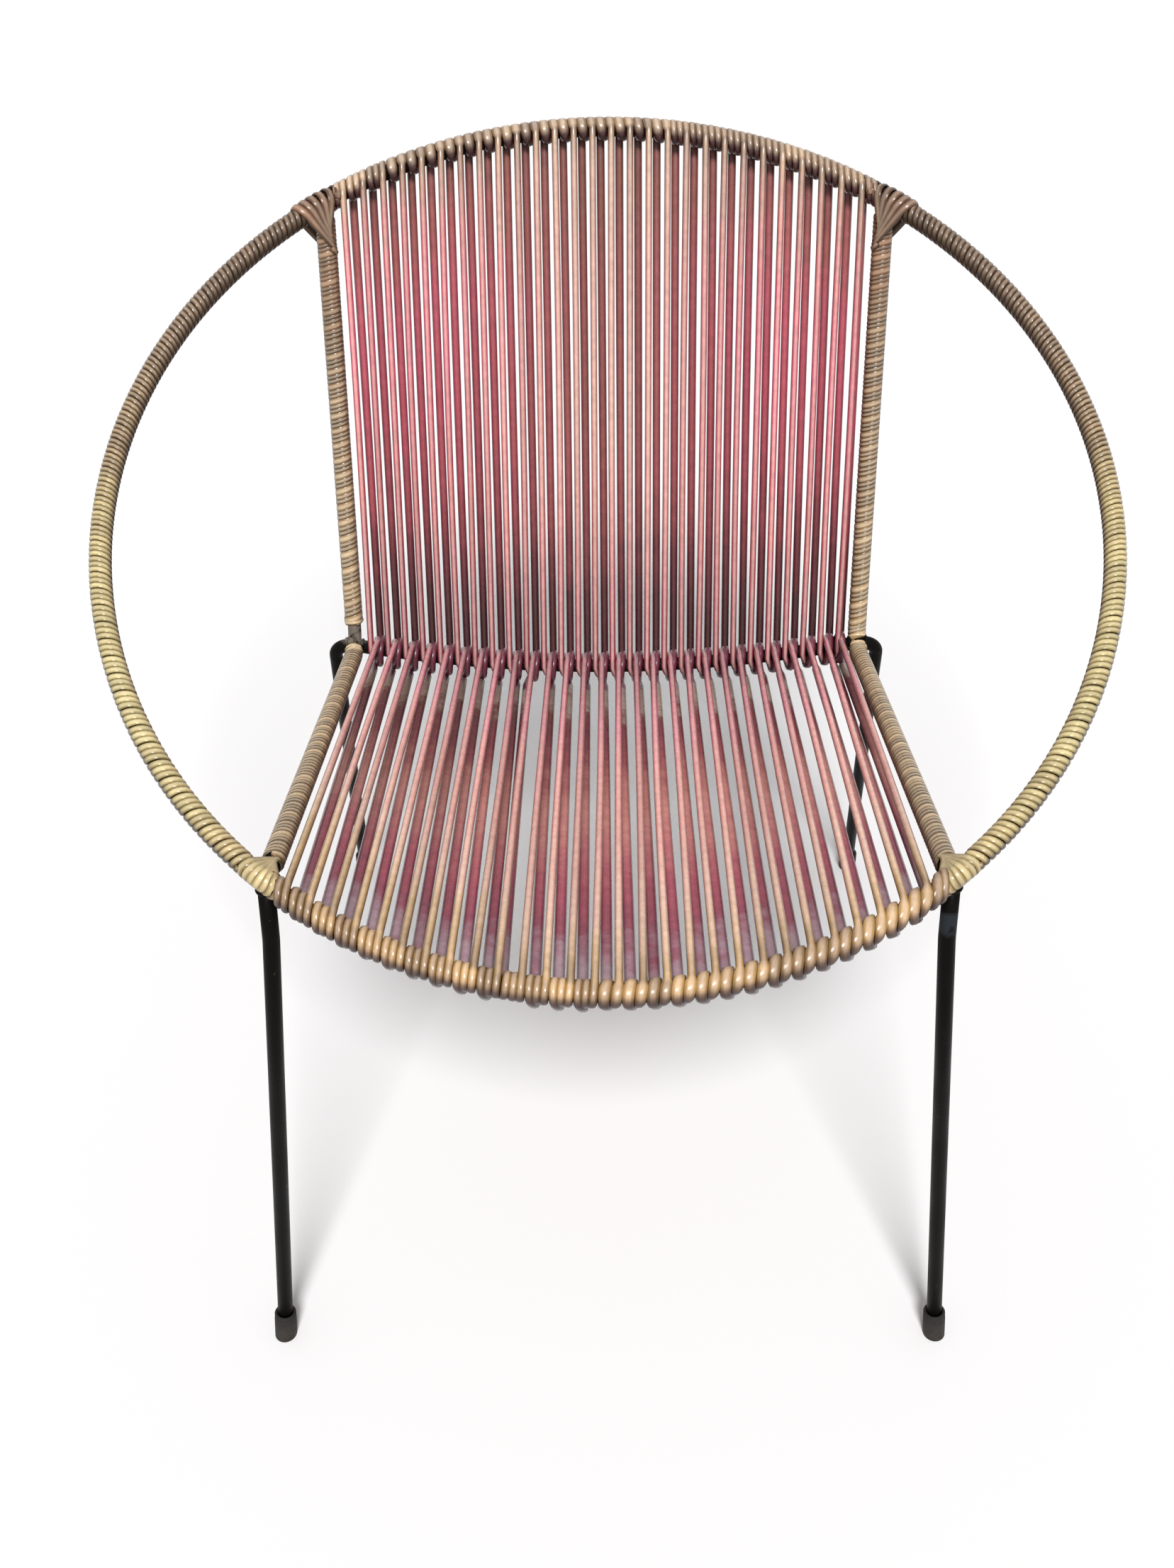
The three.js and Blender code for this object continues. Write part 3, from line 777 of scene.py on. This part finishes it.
# Rails: the same cord wound round each rail above and before the knee, and tied off there. One
# cord of the three is newer, paler and wider, so light turns mark the darker ones off. The
# winding goes on round the right knee, and above the left one some worn steel is bare.
wound_past_bend = {"left": -0.005, "right": 0.0138}
wound_round_bend = 0.0138
bare_at_joint = {"left": 0.007, "right": 0}
sitter_side = Vector((0, -0.85, 0.53))
back_rail_pitches = [0.0036, 0.0040, 0.0042, 0.0048, 0.0052]
seat_rail_pitches = [0.0056, 0.0052, 0.0050]
rail_squeezes = [0.0, 0.06]
rail_fullness = 1.24
back_newer, back_wider = 0.4, 1.25
seat_newer, seat_wider = 0.3, 1.15
ring_width = 0.0042
ring_inset = 0.002
ring_shade = 0.9
rail_vinyl = vinyl(
    "rubbed_beige_vinyl_cord", plain, plain,
    [(0.0, "#988c80"), (0.6, "#c0b6aa"), (0.9, "#fcf4e8"), (1.0, "#ffffff")],
    shade_and_grime_tone="#5c4430", highlight_tone="#fff0d4", highlight_strength=0.5, edge_shade_level=0.42, height_tones=(0.34, 0.74, [
        (0.0, "#bca074"), (0.3, "#b0946c"), (0.6, "#927452"), (0.8, "#8e6e50"),
        (1.0, "#a07056")]))


def rail_axis(hand, start):
    """Places along a rail and round its knee, by their reach from a start on it."""
    upper, knee, lower = rail_corners(hand)
    down = (knee - upper).normalized()
    forth = (lower - knee).normalized()
    inward = (forth - forth.dot(down) * down).normalized()

    def axis_at(reach):
        past = start + reach - above_bend
        turned = min(max(past / knee_bend_radius, 0), bend_angle)
        past -= turned * knee_bend_radius
        heading = math.cos(turned) * down + math.sin(turned) * inward
        centre = upper + down * (above_bend + knee_bend_radius * math.sin(turned))
        centre += inward * knee_bend_radius * (1 - math.cos(turned)) + heading * past
        outward = Vector((hand, 0, 0))
        return centre, outward, heading.cross(outward)

    return axis_at


upper, knee, lower = rail_corners(1)
bend_angle = (knee - upper).angle(lower - knee)
bend_run = knee_bend_radius * math.tan(bend_angle / 2)
above_bend = (knee - upper).length - bend_run
below_bend = above_bend + bend_angle * knee_bend_radius
rail_length = below_bend + (lower - knee).length - bend_run
for label, hand in sides:
    runs = (
        ("back", reach_beneath, above_bend + wound_past_bend[label], back_rail_pitches,
         sitter_side, back_newer, back_wider),
        ("seat", below_bend - wound_round_bend,
         rail_length - lower_reach - bare_at_joint[label], seat_rail_pitches,
         Vector((0, 0, 1)), seat_newer, seat_wider),
    )
    for run, start, end, pitches, lit_side, paler, wider in runs:
        axis = rail_axis(hand, start)
        lays = wind(axis, end - start, pitches, rail_squeezes, lit_side, paler, wider,
                    rail_fullness)
        knee_end = end - start - ring_inset if run == "back" else ring_inset
        lays.append(end_ring(*axis(knee_end), ring_width, lit_side, ring_shade))
        wrap = lay_cord(f"{label}_{run}_rail_cord", lays, rail_vinyl)
        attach(wrap, "root")
        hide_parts(f"{label}_{run}_rail_wrap")


# Joint bindings: the cord's end turns, laid slantwise over the corner of arm and rail, so
# they fan out from the weld like the ribs of a leaf and fill the corner. The upper ones are the
# end of the rails' cord, and the lower ones of the arms'.
binding_cord = 0.0042
binding_flatness = 0.6
arm_spread = 1.6
rail_spread = 1.2
before_joint = 0.009
upper_turns, upper_shades = 6, (0.1, 0.75)
lower_turns, lower_shades = 7, (0.2, 0.9)
lower_rail_reach = lower_reach + 0.002


def bind_corner(hand, side, reach, down_reach, count, shades):
    """Turns round the arm and the rail together, each a little further from the joint."""
    upper, knee, lower = rail_corners(hand)
    joint = upper if side > 0 else lower
    down = (knee - joint).normalized()
    joint_turn = joint_angle if side > 0 else math.pi - joint_angle
    thickness = binding_cord * binding_flatness
    radius = rod_radius + (flat_thickness if side > 0 else 0) + thickness / 2
    clear_of_hoop = 2 * rod_radius + binding_cord / 2
    half = steps_per_turn // 2
    stations = []
    for k in range(count):
        shade = chance.uniform(*shades)
        for step in range(steps_per_turn):
            part = (k + step / steps_per_turn) / count
            arm_reach = mix(-before_joint, reach, part)
            post_reach = mix(clear_of_hoop, down_reach, part)
            arm = hoop_centre + hoop_radius * aside(
                hand * (joint_turn + side * arm_reach / hoop_radius))
            post = joint + down * post_reach
            lay = (post - arm).normalized()
            facing = lay.cross(down)
            facing = facing if facing.dot(hoop_axis) > 0 else -facing
            facing.normalize()
            sweep = math.pi * (step % half) / (half - 1)
            if step < half:
                out = facing * math.cos(sweep) - lay * math.sin(sweep)
                point = arm + out * radius
            else:
                out = -facing * math.cos(sweep) + lay * math.sin(sweep)
                point = post + out * radius
            width = binding_cord * (arm_spread if step < half else rail_spread)
            # The layer mark is half the share of painted shade, with the sitter's side as the lit
            # side.
            stations.append(Station(point, out, width, thickness,
                                    away_shade_share(out, sitter_side) / 2, part, 1, shade))
    return stations


for label, hand in sides:
    for place, side, reach, down_reach, count, shades, finish in (
            ("upper", 1, upper_reach, rail_reach, upper_turns, upper_shades, rail_vinyl),
            ("lower", -1, lower_reach, lower_rail_reach, lower_turns, lower_shades, arm_vinyl)):
        stations = bind_corner(hand, side, reach, down_reach, count, shades)
        binding = lay_cord(f"{place}_{label}_joint_cord", [stations], finish)
        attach(binding, "root")
        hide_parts(f"{place}_{label}_joint_binding")


# Back: four lengths of vinyl cord laced side by side. Each strand goes down on the sitter's
# side, round the crossbar, up behind, over the hoop and round it once or twice more as beads.
# Shares are of the pitch from one strand to the next, and beads are listed strand by strand.
cord_diameter = 0.0056
strand_count = 28
first_strand = -0.2120
last_strand = 0.2092
strand_pitch = (last_strand - first_strand) / (strand_count - 1)
lengths_per_panel = 4
cord_gap = 0.0002
run_steps = 12
bar_steps = 8
past_bar = 1.5
hoop_steps = 16
lead_turns = 2
fine_bead = 0.31
last_bead = fine_bead * 0.9
last_turns = 1.5
fine_width = 0.0061
broad_width = 0.0078
top_swell = 0.0012
outer_swell = 0.0006
lift_falloff = 4
leaving_width = cord_diameter * 1.06
leaving_thickness = cord_diameter * 0.86
arriving_thickness = cord_diameter * 0.9
most_sway = 0.0012
last_strand_crowd = 0.45
bead_thickness = 0.0035
bead_shares = {1: 0.48, 2: 0.33}
bead_give = 0.15
tucked = {1: 0.37, 2: 0.295}
crossed_from = {1: 0.38, 2: 0.22}
crossing_share = 0.2
half_panel = 0.2
seam_share = 0.04
faded_run = 0.03


def panel_axes(x, side):
    """The way up a strand at x, and the way from it to the sitter."""
    up = (hoop_at(x, side) - bar_at(x)).normalized()
    return up, side * Vector((0, -up.z, up.y))


def round_hoop(x, side, turn, width, thickness, shade, lift=0):
    """A station on the hoop: turn 0 faces the sitter, a quarter turn is off the panel."""
    up, face = panel_axes(x, side)
    hoop = hoop_at(x, side)
    fall = -side * x / math.sqrt(hoop_radius ** 2 - x ** 2)
    tangent = Vector((1, fall * math.cos(hoop_tilt), fall * math.sin(hoop_tilt))).normalized()
    face = (face - face.dot(tangent) * tangent).normalized()
    square = face.cross(tangent)
    square = square if square.dot(up) > 0 else -square
    out = math.cos(turn) * face + math.sin(turn) * square
    point = hoop + out * (rod_radius + cord_gap + thickness / 2 + lift)
    point += tangent * (x - point.x) / tangent.x
    # The layer mark of a hoop turn is its share of painted shade, lit from above.
    return Station(point, out, width, thickness, away_shade_share(out), 0, 1, shade)


def round_bar(x, side, turn, width, lift, layer, shade):
    """A station on the crossbar: turn 0 faces the sitter."""
    up, face = panel_axes(x, side)
    out = math.cos(turn) * face + math.sin(turn) * up
    point = bar_at(x) + out * (rod_radius + cord_gap + cord_diameter / 2 + lift)
    return Station(point, out, width, cord_diameter, layer, past_bar, 0, shade)


def straight_run(first, last, layer, sway, face, shade, width):
    """A strand pulled taut between two stations, with the little sway of an old cord."""
    stations = []
    from_hoop = first.along < last.along
    length = (last.point - first.point).length
    for k in range(1, run_steps):
        share = (1 - math.cos(math.pi * k / run_steps)) / 2
        drift = sway * math.sin(math.pi * share)
        point = first.point.lerp(last.point, share) + Vector((drift, 0, 0))
        along = share if from_hoop else 1 - share
        wound = max(0, 1 - along * length / faded_run) * (1 - layer)
        stations.append(Station(point, face, width, cord_diameter, layer, along, wound,
                                shade))
    return stations


def bead_turns(x, side, start, count, first_turn, share_per_turn, broad, shade, lift=0,
               tuck=0):
    """Turns round the hoop from a share of the pitch, pressed broad or left fine.

    A lift starts them on top of the turn before, and a tuck draws them in beside it.
    """
    stations = []
    for k in range(1, round(count * hoop_steps) + 1):
        turned = k / hoop_steps
        turn = first_turn - math.tau * turned
        width = (broad_width + top_swell * math.cos(turn) + outer_swell * math.sin(turn)
                 if broad else fine_width)
        share = start + share_per_turn * turned - tuck * math.sin(math.pi * turned / count)
        stations.append(round_hoop(x + share * strand_pitch, side, turn, width, bead_thickness,
                                   shade, lift * (1 - turned / count) ** lift_falloff))
    return stations


def lace(side, half_turns, bar_shares, lift_shares, bar_slant, bar_width, behind_share,
         hoop_slant, behind_width, strays, beads, chance):
    """The whole panel's cord, and the places where one length ends and the next begins.

    Two tables move its turns round the crossbar aside and out, and strays are strands that have
    slipped aside.
    """
    stations = bead_turns(first_strand - lead_turns * fine_bead * strand_pitch, side, 0,
                          lead_turns, 0, fine_bead, False, chance.random())
    seams = []
    for strand in range(strand_count):
        x = first_strand + strand * strand_pitch
        face = panel_axes(x, side)[1]
        shade = chance.random()
        sway = chance.uniform(-most_sway, most_sway)
        crowd = last_strand_crowd if strand == strand_count - 1 else 1
        count = beads[strand]
        aslant = x / half_panel
        stray = strays.get(strand, 0)
        behind = (behind_share + hoop_slant * aslant + stray) * crowd
        crossed = min(max((behind - crossed_from[count]) / crossing_share, 0), 1)
        lift = crossed * bead_thickness
        # The bead's last station gives way to the strand's first.
        stations[-1:] = [round_hoop(x, side, 0, leaving_width, leaving_thickness, shade)]
        turns = []
        for k in range(bar_steps * half_turns + 1):
            share = k / (bar_steps * half_turns)
            last_turn = max(0, 1 - (1 - share) * half_turns)
            place = x + strand_pitch * crowd * (
                table_at(bar_shares, share) + (bar_slant * aslant + stray) * last_turn ** 2)
            turns.append(round_bar(place, side, -math.pi * share * half_turns,
                                   mix(bar_width, cord_diameter, last_turn),
                                   table_at(lift_shares, share) * cord_diameter,
                                   min(1, share * half_turns), shade))
        arrive = round_hoop(x + behind * strand_pitch, side, math.pi, behind_width,
                            arriving_thickness, shade, lift)
        arrive = arrive._replace(layer=1, wound=0)
        stations += straight_run(stations[-1], turns[0], 0, sway, face, shade,
                                 cord_diameter)
        stations += turns
        stations += straight_run(turns[-1], arrive, 1, sway / 2, face, shade, behind_width)
        stations.append(arrive)
        bead = bead_shares[count] + bead_give * (behind_share - behind)
        stations += bead_turns(x, side, behind, 0.5, math.pi, 2 * (bead - behind),
                               count == 1, shade, lift, (behind + bead) / 2 - tucked[count])
        if strand == strand_count - 1:
            stations += bead_turns(x, side, bead, last_turns, 0, last_bead, False, shade)
        else:
            if (strand + 1) % (strand_count // lengths_per_panel) == 0:
                seams.append(len(stations) + hoop_steps // 2)
            stations += bead_turns(x, side, bead, count, 0, (1 - bead) / count,
                                   count == 1, shade)
    return stations, seams


def part_lengths(stations, seams):
    """Cut a panel's cord at its seams, which lie face to face behind the hoop."""
    lays = []
    rest = stations
    for seam in reversed(seams):
        before, after = rest[seam - 1], rest[seam]
        ends = [before._replace(point=before.point.lerp(after.point, 0.5 + way * seam_share))
                for way in (-1, 1)]
        lays.insert(0, [ends[1]] + rest[seam:])
        rest = rest[:seam] + [ends[0]]
    return [rest] + lays


back_bar_shares = [0, 0.14, 0.28, 0.42, 0.55]
back_bar_slant = 0.13
back_hoop_share = 0.43
back_hoop_slant = 0.13
back_behind_width = 0.0070
back_beads = [2, 2] + [1] * 15 + [2] * 11
# The strands behind are deepened below their own tone, nearly to black by the crossbar: painted
# shade for the dark between and behind the front strands.
back_vinyl = vinyl(
    "pink_vinyl_cord_faded_tan",
    [(0.0, "#b47b70"), (0.12, "#c47b73"), (0.26, "#df6b7c"), (0.42, "#e36a80"),
     (0.6, "#d46373"), (0.74, "#c45a63"), (0.88, "#b0545f"), (1.0, "#9d4655")],
    [(0.0, "#88514a"), (0.12, "#a65a59"), (0.28, "#ba5666"), (0.46, "#b44c5d"),
     (0.6, "#a64855"), (0.7, "#8a3842"), (0.8, "#63222c"), (0.9, "#46161e"),
     (1.0, "#3d1017")],
    [(0.0, "#82644a"), (1.0, "#b89672")],
    shade_and_grime_tone="#43201f", highlight_tone="#ffeedc", highlight_strength=0.42, shifts=(0.12, 0),
    middle=("#d4a894", "#7c4a40", 0.75))
cord, seams = lace(
    side=1, half_turns=1, bar_shares=back_bar_shares, lift_shares=[0, 0],
    bar_slant=back_bar_slant, bar_width=cord_diameter, behind_share=back_hoop_share,
    hoop_slant=back_hoop_slant, behind_width=back_behind_width, strays={}, beads=back_beads,
    chance=random.Random(23))
for part, stations in enumerate(part_lengths(cord, seams), 1):
    length = lay_cord(f"back_cord_{part}", [stations], back_vinyl)
    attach(length, "root")
    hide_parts(f"back_lacing_{part}")


# Seat: four more lengths, laced the same way from the front of the hoop to the crossbar, where
# they go round once more than the back's. The top layer is bleached, and the lower one is dark.
seat_bar_shares = [0.36, 0.28, 0.22, 0.28, 0.36, 0.44, 0.5, 0.56, 0.6, 0.6, 0.56, 0.53, 0.5]
seat_lift_shares = [0, 0, 0.3, 0.8, 1, 0.6, 0.1, 0, 0, 0.5, 1, 1.3, 1.5]
seat_bar_slant = 0.45
seat_bar_width = 0.0070
seat_hoop_share = 0.5
seat_hoop_slant = 0.18
seat_behind_width = 0.0084
seat_strays = {9: -0.36}
seat_beads = [2] * 13 + [1] * 15
seat_vinyl = vinyl(
    "pink_vinyl_cord_faded_cream",
    [(0.0, "#cca468"), (0.07, "#e4ba90"), (0.16, "#eebea8"), (0.36, "#e89e94"),
     (0.58, "#ec9c98"), (0.7, "#e08090"), (0.82, "#c86a78"), (0.94, "#ac586a"),
     (1.0, "#8c4254")],
    [(0.0, "#b09aa0"), (0.08, "#b094a0"), (0.16, "#984e62"), (0.27, "#ac5466"),
     (0.38, "#be7276"), (0.48, "#cc8c84"), (0.58, "#bc7a72"), (0.68, "#94484e"),
     (0.8, "#7a303a"), (0.85, "#805048"), (0.89, "#b4a090"), (0.97, "#a89688"),
     (1.0, "#6c2c3e")],
    [(0.0, "#906c3e"), (1.0, "#c49a60")],
    shade_and_grime_tone="#3a1a12", highlight_tone="#ffeada", highlight_strength=0.38, shifts=(-0.16, -0.04))
cord, seams = lace(
    side=-1, half_turns=3, bar_shares=seat_bar_shares, lift_shares=seat_lift_shares,
    bar_slant=seat_bar_slant, bar_width=seat_bar_width, behind_share=seat_hoop_share,
    hoop_slant=seat_hoop_slant, behind_width=seat_behind_width, strays=seat_strays,
    beads=seat_beads, chance=random.Random(31))
for part, stations in enumerate(part_lengths(cord, seams), 1):
    length = lay_cord(f"seat_cord_{part}", [stations], seat_vinyl)
    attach(length, "root")
    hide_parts(f"seat_lacing_{part}")
